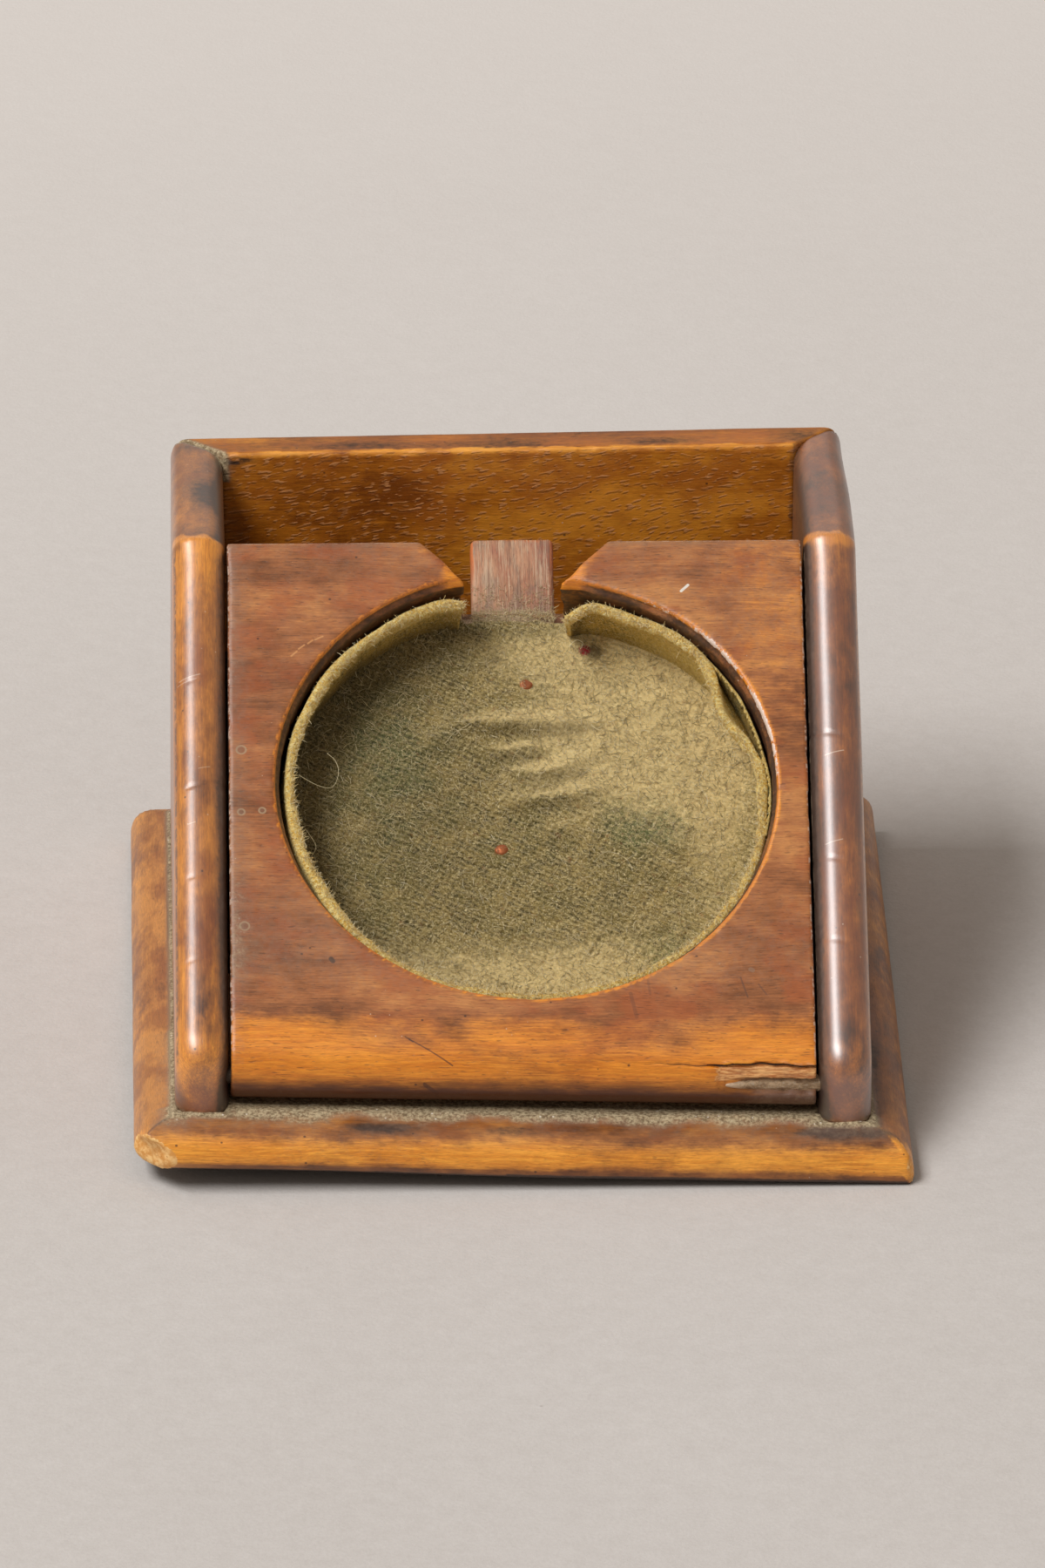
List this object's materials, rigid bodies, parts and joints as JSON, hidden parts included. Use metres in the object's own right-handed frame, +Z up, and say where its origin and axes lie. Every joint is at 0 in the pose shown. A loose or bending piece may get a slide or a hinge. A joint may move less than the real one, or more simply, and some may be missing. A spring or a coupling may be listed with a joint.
{
  "type": "watch stand",
  "caption": "Lectern-shaped wooden stand for a pocket watch: a sloping hinged panel with a round felt-lined recess and pendant notch, in front of a small open-topped storage box.",
  "frame": {"origin": "centre of the underside of the base board", "axes": "+X to the right and +Y to the back as seen by someone facing the sloping panel, +Z up"},
  "size_m": [0.083, 0.093, 0.0503],
  "materials": {
    "base_wood": "worn shellac polish, rubbed through to amber on the nose of the moulding",
    "cheek_wood": "glossy worn shellac polish",
    "back_wood": "open-pored mahogany, thinly polished",
    "panel_wood": "satin worn polish, fine grain across the panel",
    "inner_wood": "plain sawn wood",
    "lath_wood": "scratched, worn dark stain",
    "felt": "faded olive-green wool felt with a worn nap",
    "felt_strip": "faded yellow-green wool felt with a frayed pale edge",
    "iron": "dull grey-brown drawn wire",
    "copper_pin": "tarnished copper-coloured heads"
  },
  "bodies": {
    "case": {"base_plate": "base_wood", "left_cheek": "cheek_wood", "right_cheek": "cheek_wood", "back_board": "back_wood", "left_stop": "inner_wood", "right_stop": "inner_wood", "left_pivot_nail": "iron", "right_pivot_nail": "iron", "base_nails": "iron"},
    "leaf": {"front_panel": "panel_wood", "recess_floor": "inner_wood", "tongue_lath": "lath_wood", "tongue_pins": "copper_pin", "felt_floor": "felt", "felt_wall": "felt_strip"}
  },
  "joints": [
    {"name": "panel_hinge", "type": "hinge", "parent": "case", "child": "leaf", "pos_m": [0, -0.0396, 0.0087], "axis": [1, 0, 0], "range_deg": [0, 148]}
  ]
}
